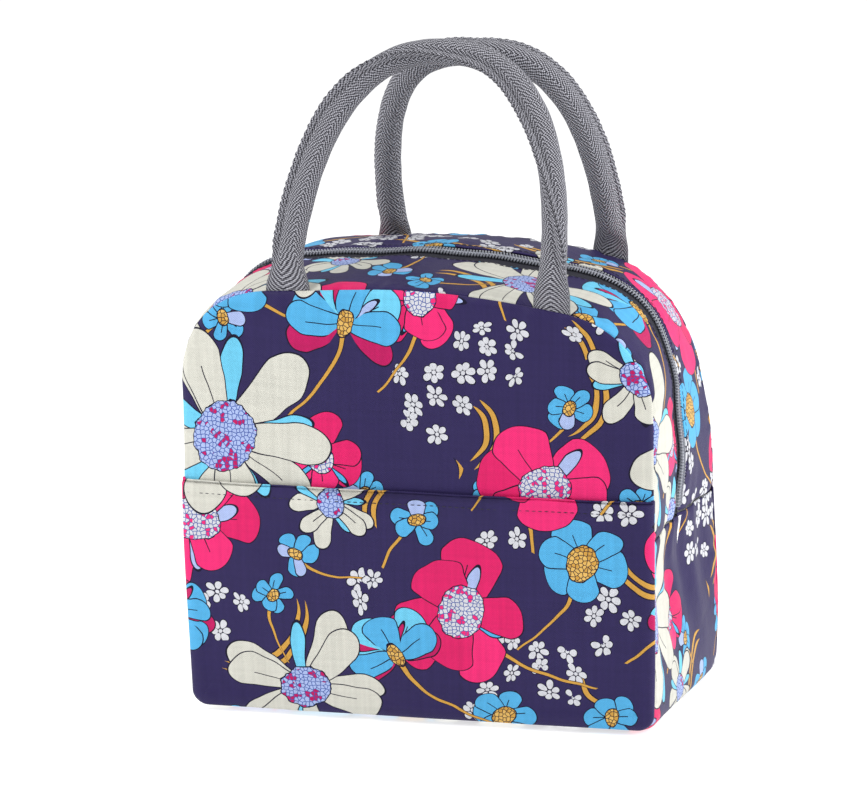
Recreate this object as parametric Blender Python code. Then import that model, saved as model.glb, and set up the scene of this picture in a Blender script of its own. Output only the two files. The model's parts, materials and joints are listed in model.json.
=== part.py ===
"""Insulated lunch bag with a zipped mouth and two rope handles.

The bag stands on the XY plane, its front faces -Y and +X is its right side.
Every wall is a stack of three layers: printed outer cloth, foam and a
reflective lining. Below MOUTH_Z the stack is one fixed tub. Above it the zip
splits the bag into a front and a rear half that fold away from each other,
so each layer of the walls is cut at MOUTH_Z into a lower and an upper piece.
"""
import math

import bmesh
import bpy
from mathutils import Vector

# Overall size of the sewn body, metres
WIDTH = 0.220
DEPTH = 0.130
HEIGHT = 0.204
TOP_CORNER = 0.047
TOP_CROWN = 0.500
BASE_CORNER = 0.010
MOUTH_Z = 0.090
POCKET_Z = 0.110

# Layers of the wall, outside to inside
GAP = 0.0003
CLOTH = 0.0006
FOAM = 0.0030
LINING = 0.0004
CLOTH_IN = 0.0
FOAM_IN = CLOTH_IN + CLOTH + GAP
LINING_IN = FOAM_IN + FOAM + GAP
WALL = LINING_IN + LINING

# Seam binding inside the bag
BINDING_THICK = 0.0010
BINDING_WIDE = 0.008

# Zip, measured from the middle line y = 0 and inwards from the outer cloth
ZIP_WINDOW = 0.010
TAPE_EDGE = 0.015
TAPE = 0.0005
ZIP_SPLIT = 0.0008
COIL_EDGE = 0.0036
COIL_PROUD = 0.0011
ZIP_END = MOUTH_Z + 0.0005

# Slider, on the left side of the bag
SLIDER_Z = 0.100
SLIDER_LONG = 0.011
SLIDER_WIDE = 0.0084
SLIDER_PLATE = 0.0012
SLIDER_INNER = 0.0010
SLIDER_TIP = 0.0026
POST_HALF = 0.00045
BRIDGE_HALF = 0.0010
BRIDGE_LOW = SLIDER_Z - 0.0049
BRIDGE_TOP = SLIDER_Z + 0.0054
BRIDGE_REACH = 0.0036
BRIDGE_WINDOW = 0.0024
BRIDGE_LEG = 0.0014
POST_SHORT = 0.0005

# Pull tab hanging from the slider's bridge
PULL_LONG = 0.026
PULL_HALF = 0.0035
PULL_THICK = 0.0012
PULL_HOLE = 0.0036
PULL_HOLE_HALF = 0.0015
PULL_BAR = 0.0005
PULL_BEVEL = 0.0012
PULL_RISE = 0.0011

# Handles: webbing folded round a cord, sewn flat into the two top seams
HANDLE_RISE = 0.118
HANDLE_POWER = 2.4
HANDLE_RADIUS = 0.0063
FOOT_HALF_WIDE = 0.0105
FOOT_HALF_THICK = 0.0009
FOOT_LONG = 0.024
SLIT_HALF_WIDE = 0.0085
SLIT_HALF_THICK = 0.00025
BORE_RADIUS = 0.0039
CORE_RADIUS = 0.0035
CORE_START = 0.030
HINGE_OUT = 0.0009
RINGS = 37
SIDES = 16

# name, seam side, middle of the two feet, half their distance, inward lean in degrees,
# and how far the hinge line lies below the top of the crowned wall
HANDLES = (("front", -1, -0.0010, 0.0645, 27.0, 0.0021),
           ("rear", 1, 0.0070, 0.0535, 31.0, 0.0004))

INK = (0.030, 0.022, 0.090)
FOAM_WHITE = (0.86, 0.86, 0.84)
SILVER = (0.70, 0.71, 0.73)
GREY = (0.26, 0.26, 0.29)
BLACK = (0.020, 0.020, 0.028)
METAL = (0.36, 0.36, 0.38)

PLANE_TURN = {"XZ": (math.pi / 2, 0.0, 0.0), "YZ": (math.pi / 2, 0.0, math.pi / 2)}
PLANE_AXIS = {"XZ": Vector((0, -1, 0)), "YZ": Vector((1, 0, 0))}


def collection(name):
    """Make a collection in the scene."""
    made = bpy.data.collections.new(name)
    bpy.context.scene.collection.children.link(made)
    return made


def finish(obj, colour, roughness, metallic=0.0):
    """Give the object its own material."""
    mat = bpy.data.materials.new(obj.name)
    mat.use_nodes = True
    shader = mat.node_tree.nodes["Principled BSDF"]
    shader.inputs["Base Color"].default_value = (*colour, 1.0)
    shader.inputs["Roughness"].default_value = roughness
    shader.inputs["Metallic"].default_value = metallic
    obj.data.materials.append(mat)


def joint(name, location, parent=None):
    """An empty on a joint's axis."""
    empty = bpy.data.objects.new(name, None)
    empty.location = location
    BAG.objects.link(empty)
    attach(empty, parent)
    return empty


def world_place(empty):
    """Where an unrotated empty stands in the world."""
    place = Vector((0, 0, 0))
    while empty:
        place += empty.location
        empty = empty.parent
    return place


def attach(obj, parent):
    """Hang the object on an empty and leave it where it is."""
    if parent:
        obj.parent = parent
        obj.location -= world_place(parent)


def slab(name, loops, low, high, plane, home):
    """A flat outline in a plane, thickened from low to high along the plane's normal axis."""
    curve = bpy.data.curves.new(name, "CURVE")
    curve.dimensions = "2D"
    curve.fill_mode = "BOTH"
    curve.extrude = (high - low) / 2
    for loop in loops:
        spline = curve.splines.new("POLY")
        spline.points.add(len(loop) - 1)
        for point, (across, up) in zip(spline.points, loop):
            point.co = (across, up, 0.0, 1.0)
        spline.use_cyclic_u = True
    obj = bpy.data.objects.new(name, curve)
    home.objects.link(obj)
    obj.rotation_euler = PLANE_TURN[plane]
    middle = (low + high) / 2
    obj.location = (0, middle, 0) if plane == "XZ" else (middle, 0, 0)
    return obj


def arc(centre, radius, start, end, steps):
    """Points of an arc, angles in radians from +X."""
    turn = (end - start) / steps
    return [(centre[0] + radius * math.cos(start + turn * k),
             centre[1] + radius * math.sin(start + turn * k)) for k in range(steps + 1)]


def arch(inset, floor):
    """The bag's outline above a height, from the right side over the top to the left side."""
    corner_x = WIDTH / 2 - TOP_CORNER
    crown_z = HEIGHT - TOP_CROWN
    lift = math.acos(corner_x / (TOP_CROWN - TOP_CORNER))
    corner_z = crown_z + (TOP_CROWN - TOP_CORNER) * math.sin(lift)
    right = arc((corner_x, corner_z), TOP_CORNER - inset, 0.0, lift, 9)
    top = arc((0.0, crown_z), TOP_CROWN - inset, lift, math.pi - lift, 8)
    left = [(-x, z) for x, z in reversed(right)]
    side = WIDTH / 2 - inset
    return [(side, floor)] + right + top[1:-1] + left + [(-side, floor)]


def trough(inset, ceiling):
    """The bag's outline below a height, from the left side round the base to the right side."""
    radius = max(BASE_CORNER - inset, 0.002)
    corner_x = WIDTH / 2 - inset - radius
    corner_z = inset + radius
    right = arc((corner_x, corner_z), radius, -math.pi / 2, 0.0, 6)
    left = [(-x, z) for x, z in reversed(right)]
    side = WIDTH / 2 - inset
    return [(-side, ceiling)] + left + right + [(side, ceiling)]


def band(outline, outer, inner, edge):
    """A closed strip between two insets of an outline."""
    return outline(outer, edge) + list(reversed(outline(inner, edge)))


ABOVE = MOUTH_Z + GAP / 2
BELOW = MOUTH_Z - GAP / 2
LAYERS = (("cloth", CLOTH_IN, CLOTH, INK, 0.55),
          ("foam", FOAM_IN, FOAM, FOAM_WHITE, 0.80),
          ("lining", LINING_IN, LINING, SILVER, 0.30))
PANEL_NAMES = {"cloth": "{}_panel", "foam": "{}_foam", "lining": "{}_lining"}
BASE_NAMES = {"cloth": "base_gusset", "foam": "base_foam", "lining": "base_lining"}
STRIP_NAMES = {"cloth": "{}_zip_strip", "foam": "{}_strip_foam", "lining": "{}_strip_lining"}
STRIP_EDGE = {"cloth": ZIP_WINDOW, "foam": TAPE_EDGE + GAP, "lining": ZIP_WINDOW}


def span(side, near, far):
    """Low and high Y of a layer that lies between two distances from the middle line."""
    return (near, far) if side > 0 else (-far, -near)


def big_panels(face, side, mouth):
    """The three layers of the front or back wall, each cut at the mouth."""
    for layer, start, thick, colour, rough in LAYERS:
        name = PANEL_NAMES[layer].format(face)
        low, high = span(side, DEPTH / 2 - start - thick, DEPTH / 2 - start)
        lower = slab(name + "_lower", [trough(start, BELOW)], low, high, "XZ", BAG)
        upper = slab(name + "_upper", [arch(start, ABOVE)], low, high, "XZ", BAG)
        attach(upper, mouth)
        finish(lower, colour, rough)
        finish(upper, colour, rough)


def base_gusset():
    """The layers of the strip that runs down one side, under the base and up the other."""
    for layer, start, thick, colour, rough in LAYERS:
        edge = DEPTH / 2 - start - thick - GAP
        strip = slab(BASE_NAMES[layer], [band(trough, start, start + thick, BELOW)],
                     -edge, edge, "XZ", BAG)
        finish(strip, colour, rough)


def zip_strip(face, side, mouth):
    """The layers of the strip between a wall's top seam and the zip."""
    for layer, start, thick, colour, rough in LAYERS:
        edge = DEPTH / 2 - start - thick - GAP
        low, high = span(side, STRIP_EDGE[layer], edge)
        strip = slab(STRIP_NAMES[layer].format(face), [band(arch, start, start + thick, ABOVE)],
                     low, high, "XZ", BAG)
        attach(strip, mouth)
        finish(strip, colour, rough)


def zip_half(face, side, mouth):
    """One tape of the zip with its coil."""
    low, high = span(side, ZIP_SPLIT, TAPE_EDGE)
    tape = slab(face + "_zip_tape", [band(arch, FOAM_IN, FOAM_IN + TAPE, ZIP_END)],
                low, high, "XZ", BAG)
    low, high = span(side, ZIP_SPLIT, COIL_EDGE)
    coil = slab(face + "_zip_coil", [band(arch, -COIL_PROUD, CLOTH, ZIP_END)],
                low, high, "XZ", BAG)
    for piece, rough in ((tape, 0.75), (coil, 0.40)):
        attach(piece, mouth)
        finish(piece, BLACK, rough)


def bindings(face, side, mouth):
    """The tape that covers the raw edges of a wall's seam inside the bag."""
    start = WALL + GAP
    far = DEPTH / 2 - start
    low, high = span(side, far - BINDING_WIDE, far)
    lower = slab(face + "_binding_lower", [band(trough, start, start + BINDING_THICK, BELOW)],
                 low, high, "XZ", BAG)
    upper = slab(face + "_binding_upper", [band(arch, start, start + BINDING_THICK, ABOVE)],
                 low, high, "XZ", BAG)
    attach(upper, mouth)
    finish(lower, GREY, 0.80)
    finish(upper, GREY, 0.80)


def pocket(mouth):
    """The slip pocket that covers the lower half of the front."""
    high = -DEPTH / 2 - GAP
    low = high - CLOTH
    lower = slab("front_pocket_lower", [trough(0.0, BELOW)], low, high, "XZ", BAG)
    half = WIDTH / 2
    top = [(half, ABOVE), (half, POCKET_Z), (-half, POCKET_Z), (-half, ABOVE)]
    upper = slab("front_pocket_upper", [top], low, high, "XZ", BAG)
    attach(upper, mouth)
    finish(lower, INK, 0.55)
    finish(upper, INK, 0.55)


def as_mesh(obj):
    """Replace a curve by the welded mesh that it evaluates to."""
    bpy.context.view_layer.update()
    mesh = bpy.data.meshes.new_from_object(obj.evaluated_get(bpy.context.evaluated_depsgraph_get()))
    form = bmesh.new()
    form.from_mesh(mesh)
    bmesh.ops.remove_doubles(form, verts=form.verts, dist=1e-6)
    form.to_mesh(mesh)
    form.free()
    solid = bpy.data.objects.new(obj.name, mesh)
    solid.matrix_world = obj.matrix_world.copy()
    obj.users_collection[0].objects.link(solid)
    name = obj.name
    bpy.data.objects.remove(obj)
    solid.name = name
    return solid


def plate_outline(half_wide, half_tip, low, high):
    """A slider plate: square shoulders that taper to a narrower lower end."""
    shoulder = low + (high - low) * 0.45
    return [(-half_tip, low), (half_tip, low), (half_wide, shoulder),
            (half_wide, high), (-half_wide, high), (-half_wide, shoulder)]


def rectangle(left, right, low, high):
    """Four corners, counter-clockwise."""
    return [(left, low), (right, low), (right, high), (left, high)]


def zip_slider(carrier):
    """Two plates joined by a post, with a bridge for the pull tab."""
    low = SLIDER_Z - SLIDER_LONG / 2
    high = SLIDER_Z + SLIDER_LONG / 2
    face = -WIDTH / 2 - COIL_PROUD - GAP
    inner = -WIDTH / 2 + FOAM_IN + TAPE + GAP
    plate = as_mesh(slab("zipper_slider", [plate_outline(SLIDER_WIDE / 2, SLIDER_TIP, low, high)],
                         face - SLIDER_PLATE, face, "YZ", BAG))
    bridge_face = face - SLIDER_PLATE
    frame = rectangle(bridge_face - BRIDGE_REACH, face - SLIDER_PLATE / 2, BRIDGE_LOW, BRIDGE_TOP)
    window = rectangle(bridge_face - BRIDGE_WINDOW, bridge_face,
                       BRIDGE_LOW + BRIDGE_LEG, BRIDGE_TOP - BRIDGE_LEG)
    joined = (
        slab("slider_bridge", [frame, window], -BRIDGE_HALF, BRIDGE_HALF, "XZ", GUIDES),
        slab("slider_post", [rectangle(-POST_HALF, POST_HALF, SLIDER_Z, high - POST_SHORT)],
             face - SLIDER_PLATE / 2, inner + SLIDER_INNER / 2, "YZ", GUIDES),
        slab("slider_inner", [plate_outline(SLIDER_WIDE / 2, SLIDER_TIP, low, high)],
             inner, inner + SLIDER_INNER, "YZ", GUIDES))
    for part in joined:
        part = as_mesh(part)
        part.hide_render = True
        part.display_type = "WIRE"
        union = plate.modifiers.new(part.name, "BOOLEAN")
        union.operation = "UNION"
        union.object = part
    attach(plate, carrier)
    finish(plate, METAL, 0.35, 0.9)


def pull_tab(hinge):
    """A flat tab whose ring hangs on the slider's bridge."""
    place = world_place(hinge)
    foot = place.z - PULL_LONG
    centre = (0.0, foot + PULL_HALF)
    body = arc(centre, PULL_HALF, math.pi, 2 * math.pi, 10)
    head = place.z + PULL_BAR
    shoulder = PULL_HALF - PULL_BEVEL
    body += [(PULL_HALF, head - PULL_BEVEL), (shoulder, head), (-shoulder, head),
             (-PULL_HALF, head - PULL_BEVEL)]
    hole = rectangle(-PULL_HOLE_HALF, PULL_HOLE_HALF,
                     place.z - PULL_BAR - PULL_HOLE, place.z - PULL_BAR)
    tab = slab("zipper_pull", [body, hole], place.x - PULL_THICK / 2, place.x + PULL_THICK / 2,
               "YZ", BAG)
    attach(tab, hinge)
    finish(tab, METAL, 0.35, 0.9)


def loop_path(half_span, count):
    """Evenly spaced points of a handle's middle line, from its left foot to its right foot."""
    fine = []
    for k in range(601):
        angle = math.pi * k / 600
        across = abs(math.cos(angle)) ** (2 / HANDLE_POWER)
        rise = math.sin(angle) ** (2 / HANDLE_POWER) if 0 < k < 600 else 0.0
        fine.append(Vector((-math.copysign(half_span * across, math.cos(angle)),
                            0.0, HANDLE_RISE * rise)))
    travel = [0.0]
    for a, b in zip(fine, fine[1:]):
        travel.append(travel[-1] + (b - a).length)
    points = []
    at = 0
    for k in range(count):
        want = travel[-1] * k / (count - 1)
        while at < len(fine) - 2 and travel[at + 1] < want:
            at += 1
        part = (want - travel[at]) / (travel[at + 1] - travel[at])
        points.append(fine[at].lerp(fine[at + 1], part))
    return points, travel[-1]


def ease(value):
    """0 to 1 with level ends."""
    value = min(max(value, 0.0), 1.0)
    return value * value * (3 - 2 * value)


def mix(a, b, part):
    """A value between a and b."""
    return a + (b - a) * part


def ring(form, centre, across, half_wide, half_thick):
    """One oval section of the webbing."""
    verts = []
    for k in range(SIDES):
        angle = 2 * math.pi * k / SIDES
        offset = across * (half_wide * math.cos(angle)) + Vector((0, half_thick * math.sin(angle), 0))
        verts.append(form.verts.new(centre + offset))
    return verts


def bridge_rings(form, first, second):
    """Quads between two rings."""
    for k in range(SIDES):
        after = (k + 1) % SIDES
        form.faces.new((first[k], first[after], second[after], second[k]))


def handle_webbing(name, half_span):
    """Webbing folded round a cord: two flat layers at each foot, a round tube between them."""
    points, length = loop_path(half_span, RINGS)
    form = bmesh.new()
    outer = []
    inner = []
    for k, point in enumerate(points):
        before = points[max(k - 1, 0)]
        after = points[min(k + 1, RINGS - 1)]
        along = (after - before).normalized()
        across = Vector((-along.z, 0, along.x))
        along_foot = length * min(k, RINGS - 1 - k) / (RINGS - 1)
        part = ease(along_foot / FOOT_LONG)
        outer.append(ring(form, point, across, mix(FOOT_HALF_WIDE, HANDLE_RADIUS, part),
                          mix(FOOT_HALF_THICK, HANDLE_RADIUS, part)))
        inner.append(ring(form, point, across, mix(SLIT_HALF_WIDE, BORE_RADIUS, part),
                          mix(SLIT_HALF_THICK, BORE_RADIUS, part)))
    for a, b in zip(outer, outer[1:]):
        bridge_rings(form, a, b)
    for a, b in zip(inner, inner[1:]):
        bridge_rings(form, b, a)
    bridge_rings(form, inner[0], outer[0])
    bridge_rings(form, outer[-1], inner[-1])
    bmesh.ops.recalc_face_normals(form, faces=form.faces)
    mesh = bpy.data.meshes.new(name)
    form.to_mesh(mesh)
    form.free()
    mesh.shade_smooth()
    obj = bpy.data.objects.new(name, mesh)
    BAG.objects.link(obj)
    return obj


def handle_core(name, half_span):
    """The cord inside the folded webbing, which stops short of the flat feet."""
    points, length = loop_path(half_span, RINGS)
    step = length / (RINGS - 1)
    skip = math.ceil(CORE_START / step)
    kept = points[skip:RINGS - skip]
    curve = bpy.data.curves.new(name, "CURVE")
    curve.dimensions = "3D"
    curve.bevel_depth = CORE_RADIUS
    curve.bevel_resolution = 2
    curve.use_fill_caps = True
    spline = curve.splines.new("POLY")
    spline.points.add(len(kept) - 1)
    for point, place in zip(spline.points, kept):
        point.co = (*place, 1.0)
    obj = bpy.data.objects.new(name, curve)
    BAG.objects.link(obj)
    return obj


def handle(face, side, middle, half_span, lean, drop, mouth):
    """A handle on the hinge line of its seam, leaning in towards the middle of the bag."""
    place = Vector((middle, side * (DEPTH / 2 + HINGE_OUT), HEIGHT - drop))
    hinge = joint(face + "_handle_hinge", place, mouth)
    pieces = ((handle_webbing(face + "_handle_webbing", half_span), GREY, 0.75),
              (handle_core(face + "_handle_core", half_span), FOAM_WHITE, 0.85))
    for piece, colour, rough in pieces:
        piece.parent = hinge
        piece.rotation_euler.x = math.radians(lean) * side
        finish(piece, colour, rough)


for old in list(bpy.data.objects):
    bpy.data.objects.remove(old)
BAG = collection("lunch_bag")
GUIDES = collection("slider_joins")

front_mouth = joint("front_mouth_hinge", (0, -DEPTH / 2 - GAP - CLOTH, MOUTH_Z))
rear_mouth = joint("rear_mouth_hinge", (0, DEPTH / 2, MOUTH_Z))
base_gusset()
for face, wall, side, mouth in (("front", "front", -1, front_mouth), ("rear", "back", 1, rear_mouth)):
    big_panels(wall, side, mouth)
    bindings(wall, side, mouth)
    zip_strip(face, side, mouth)
    zip_half(face, side, mouth)
pocket(front_mouth)

slider = joint("slider_travel", (-WIDTH / 2, 0, SLIDER_Z), rear_mouth)
zip_slider(slider)
bridge_outer = -WIDTH / 2 - COIL_PROUD - GAP - SLIDER_PLATE
pull_at = Vector((bridge_outer - BRIDGE_WINDOW / 2, 0, BRIDGE_LOW + BRIDGE_LEG + PULL_RISE))
pull_tab(joint("pull_hinge", pull_at, slider))
for face, side, middle, half_span, lean, drop in HANDLES:
    mouth = front_mouth if side < 0 else rear_mouth
    handle(face, side, middle, half_span, lean, drop, mouth)
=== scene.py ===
"""Looks of the insulated lunch bag: printed cloth over foam, coil zip and webbing handles.

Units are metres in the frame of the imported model: +Z up, the front faces -Y.
"""
import json
import math

import bpy
import numpy as np
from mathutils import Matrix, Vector


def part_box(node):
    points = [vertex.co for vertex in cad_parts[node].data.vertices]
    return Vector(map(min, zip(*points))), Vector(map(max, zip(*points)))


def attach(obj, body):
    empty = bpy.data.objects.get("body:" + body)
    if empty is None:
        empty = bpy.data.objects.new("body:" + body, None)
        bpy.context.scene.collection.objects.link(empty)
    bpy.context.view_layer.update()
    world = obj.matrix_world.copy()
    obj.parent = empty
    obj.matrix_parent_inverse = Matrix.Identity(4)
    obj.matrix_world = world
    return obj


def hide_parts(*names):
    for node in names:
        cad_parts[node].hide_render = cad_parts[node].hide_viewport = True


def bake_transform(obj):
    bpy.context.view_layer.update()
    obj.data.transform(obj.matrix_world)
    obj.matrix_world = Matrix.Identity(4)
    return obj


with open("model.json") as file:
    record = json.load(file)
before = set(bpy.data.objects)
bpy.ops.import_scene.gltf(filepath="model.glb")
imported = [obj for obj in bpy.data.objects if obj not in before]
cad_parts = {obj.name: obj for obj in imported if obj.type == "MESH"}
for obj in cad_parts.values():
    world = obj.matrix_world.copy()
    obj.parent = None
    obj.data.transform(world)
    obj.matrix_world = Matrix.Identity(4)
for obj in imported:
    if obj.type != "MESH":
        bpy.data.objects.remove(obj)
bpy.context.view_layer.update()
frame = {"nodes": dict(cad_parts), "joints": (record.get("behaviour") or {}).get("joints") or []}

MM = 0.001

# ---------------------------------------------------------------- sizes from the frame
PANEL_LOW, PANEL_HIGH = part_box("front_panel_upper")
WIDTH = PANEL_HIGH.x - PANEL_LOW.x
HEIGHT = PANEL_HIGH.z
MOUTH_Z = PANEL_LOW.z
HALF_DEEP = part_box("back_panel_upper")[1].y
POCKET_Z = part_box("front_pocket_upper")[1].z
ZIP_WINDOW = -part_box("front_zip_strip")[1].y
TAPE_EDGE = -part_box("front_zip_tape")[0].y
JOINTS = {joint["name"]: joint for joint in frame["joints"]}

# ---------------------------------------------------------------- sizes of the sewn shape
TOP_CORNER = 47 * MM
TOP_CROWN = 500 * MM
BASE_CORNER = 7.6 * MM
CLOTH = 0.6 * MM
FOAM = 2.9 * MM
FILM = 0.3 * MM
FILM_INSET = 4.3 * MM


# ---------------------------------------------------------------- lines
def unit(rows):
    """Vectors made one long."""
    return rows / np.linalg.norm(rows, axis=-1, keepdims=True)


def tangents(line):
    """Directions along a line of points."""
    return unit(np.gradient(line, axis=0))


def travel_along(line):
    """Distance travelled at each point of a line."""
    return np.concatenate([[0.0], np.cumsum(np.linalg.norm(np.diff(line, axis=0), axis=1))])


def sample(want, travel, values):
    """Rows of values at the wanted distances."""
    return np.stack([np.interp(want, travel, column) for column in values.T], -1)


def resample(points, count):
    """Evenly spaced points along a polyline, with the distance travelled."""
    travel = travel_along(points)
    want = np.linspace(0.0, travel[-1], count)
    return sample(want, travel, points), want


def arc(centre, radius, start, end, steps=200):
    """Points of an arc."""
    angle = np.linspace(start, end, steps)
    return np.stack([centre[0] + radius * np.cos(angle), centre[1] + radius * np.sin(angle)], 1)


def normals_of(line):
    """Outward normals of a line that runs anticlockwise round the bag."""
    return tangents(line)[:, ::-1] * (1, -1)


def arch_points(floor):
    """The outline above a height, from the right side over the top to the left side."""
    corner_x = WIDTH / 2 - TOP_CORNER
    crown_z = HEIGHT - TOP_CROWN
    lift = math.acos(corner_x / (TOP_CROWN - TOP_CORNER))
    corner_z = crown_z + (TOP_CROWN - TOP_CORNER) * math.sin(lift)
    right = arc((corner_x, corner_z), TOP_CORNER, 0.0, lift)
    top = arc((0.0, crown_z), TOP_CROWN, lift, math.pi - lift)[1:-1]
    foot = np.array([[WIDTH / 2, floor]])
    return np.concatenate([foot, right, top, right[::-1] * (-1, 1), foot * (-1, 1)])


def trough_points(ceiling):
    """The outline below a height, from the left side round the base to the right side."""
    right = arc((WIDTH / 2 - BASE_CORNER, BASE_CORNER), BASE_CORNER, -math.pi / 2, 0.0)
    top = np.array([[WIDTH / 2, ceiling]])
    return np.concatenate([top * (-1, 1), right[::-1] * (-1, 1), right, top])


# ---------------------------------------------------------------- how the soft bag lies
def waves(value, seed, lengths):
    """A sum of sine waves of the given wavelengths, within about -1 to 1."""
    rng = np.random.default_rng(seed)
    total = np.zeros_like(value)
    for length in lengths:
        total += np.sin(2 * math.pi * value / length + rng.uniform(0, 2 * math.pi))
    return total / len(lengths)


def ripples(x, z, seed, lengths):
    """A soft two-way undulation of a sheet, within about -1 to 1."""
    rng = np.random.default_rng(seed)
    total = np.zeros_like(x)
    for length in lengths:
        angle = rng.uniform(0, math.pi)
        along = x * math.cos(angle) + z * math.sin(angle)
        total += np.sin(2 * math.pi * along / length + rng.uniform(0, 2 * math.pi))
    return total / len(lengths)


def smooth(value, low, high):
    """0 below low, 1 above high, smooth between them."""
    part = np.clip((value - low) / (high - low), 0.0, 1.0)
    return part * part * (3 - 2 * part)


def hill(value, middle, half, power=2):
    """1 at the middle, falling to near 0 on both sides."""
    return np.exp(-(np.abs(value - middle) / half) ** power)


def slider_run(x, y, z):
    """1 along the stretch of zip that the slider and its pull sweep, 0 away from it."""
    flank = smooth(-x, 0.42 * WIDTH, 0.48 * WIDTH)
    return flank * hill(y, 0.0, 20 * MM, 4) * hill(z, 115 * MM, 58 * MM, 4)


def relax(points):
    """How the soft bag settles: sides bow out, the top leans left and rises at the back."""
    x, y, z = points.T
    rear = smooth(y, -HALF_DEEP, HALF_DEEP)
    off_middle = smooth(np.abs(y), 0.15 * HALF_DEEP, 0.9 * HALF_DEEP)
    bow = np.sin(math.pi * np.clip(z / (HEIGHT * 0.98), 0, 1)) * off_middle
    right = smooth(x, 0.20 * WIDTH, 0.5 * WIDTH)
    top = smooth(z, 0.55 * HEIGHT, 0.98 * HEIGHT)
    edge = smooth(np.abs(y), 0.80 * HALF_DEEP, 1.02 * HALF_DEEP)
    shoulder = (1 - rear) * np.exp(-((x + 0.43 * WIDTH) ** 2 + (z - 0.88 * HEIGHT) ** 2) / (30 * MM) ** 2)

    settled_x = x + np.clip(x / (WIDTH / 2), -1.05, 1.05) * bow * 2.0 * MM
    settled_x -= (1 - rear) * (1.2 + 2.2 * smooth(z, 4 * MM, 100 * MM)) * MM
    settled_x -= shoulder * 3.4 * MM
    settled_x += rear * right * (1 - smooth(z, 0.10 * HEIGHT, 0.55 * HEIGHT)) * 4.6 * MM
    settled_x -= rear * right * smooth(z, 0.52 * HEIGHT, 0.86 * HEIGHT) * 8.5 * MM
    settled_x += slider_run(x, y, z) * np.maximum(x + 0.2 * MM - settled_x, 0)

    settled_z = z - top * smooth(x, -0.1 * WIDTH, 0.42 * WIDTH) * 3.4 * MM
    settled_z += top * smooth(-x, 0.12 * WIDTH, 0.45 * WIDTH) * 1.2 * MM
    settled_z += top * smooth(y, -0.6 * HALF_DEEP, HALF_DEEP) * (5.2 - 5.0 * right) * MM
    settled_z += (1 - smooth(z, 0.0, 26 * MM)) * edge * 2.6 * MM + shoulder * 3.2 * MM
    return np.stack([settled_x, y, settled_z], 1)


def panel_swell(x, z, seed):
    """How far a big panel stands out from its seams' plane, before its rim is rolled in."""
    across = 1 - np.abs(2 * x / WIDTH) ** 2.6
    up = 1 - np.abs((z - 0.47 * HEIGHT) / (0.53 * HEIGHT)) ** 2.6
    body = np.clip(across, 0, 1) * np.clip(up, 0, 1)
    return body * 3.6 * MM + np.sqrt(body) * ripples(x, z, seed, (0.055, 0.083, 0.12)) * 1.15 * MM


# ---------------------------------------------------------------- mesh helpers
def make_mesh(name, verts, faces, uvs):
    """A smooth object from vertices, faces and one UV point for each vertex, in metres of cloth."""
    mesh = bpy.data.meshes.new(name)
    mesh.from_pydata([tuple(v) for v in verts], [], faces)
    layer = mesh.uv_layers.new(name="cloth")
    corner = np.zeros(len(mesh.loops), dtype=np.int64)
    mesh.loops.foreach_get("vertex_index", corner)
    layer.data.foreach_set("uv", np.asarray(uvs, dtype=np.float32)[corner].ravel())
    mesh.shade_smooth()
    mesh.update()
    obj = bpy.data.objects.new(name, mesh)
    bpy.context.scene.collection.objects.link(obj)
    return obj


def grid_faces(rows, cols, closed=False, flip=False):
    """Quads of a grid whose vertices run row by row."""
    faces = []
    for i in range(rows - 1):
        for j in range(cols if closed else cols - 1):
            k = (j + 1) % cols
            quad = (i * cols + j, i * cols + k, (i + 1) * cols + k, (i + 1) * cols + j)
            faces.append(quad[::-1] if flip else quad)
    return faces


def sheet_of(name, grid, uv, closed=False, flip=False):
    """A settled sheet from a grid of points, rows by columns by 3."""
    faces = grid_faces(*grid.shape[:2], closed, flip)
    return make_mesh(name, relax(grid.reshape(-1, 3)), faces, uv.reshape(-1, 2))


def thicken(obj, thickness):
    """Give an open sheet its thickness, inwards from its outer face."""
    solid = obj.modifiers.new("thickness", "SOLIDIFY")
    solid.thickness = thickness
    solid.offset = -1.0
    solid.use_even_offset = False


def tube(path, radius, sides):
    """The vertices of a round tube along a path, ring by ring."""
    tangent = tangents(path)
    side = unit(np.cross(tangent, (0.0, 1.0, 0.0)))
    up = np.cross(side, tangent)
    angle = np.arange(sides)[None, :, None] * 2 * math.pi / sides
    ring = (side[:, None] * np.cos(angle) + up[:, None] * np.sin(angle)) * radius
    return (path[:, None] + ring).reshape(-1, 3)


# ---------------------------------------------------------------- shader helpers
class Wire:
    """A socket that gives a value. Arithmetic on it adds math nodes."""

    def __init__(self, nodes, socket):
        self.nodes, self.socket = nodes, socket

    def __add__(self, other):
        return self.nodes.math("ADD", self, other)

    def __sub__(self, other):
        return self.nodes.math("SUBTRACT", self, other)

    def __rsub__(self, other):
        return self.nodes.math("SUBTRACT", other, self)

    def __mul__(self, other):
        return self.nodes.math("MULTIPLY", self, other)

    def __truediv__(self, other):
        return self.nodes.math("DIVIDE", self, other)

    def __rtruediv__(self, other):
        return self.nodes.math("DIVIDE", other, self)

    def __pow__(self, other):
        return self.nodes.math("POWER", self, other)

    def __lt__(self, other):
        return self.nodes.math("LESS_THAN", self, other)

    def __gt__(self, other):
        return self.nodes.math("GREATER_THAN", self, other)

    def __abs__(self):
        return self.nodes.math("ABSOLUTE", self)


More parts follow.
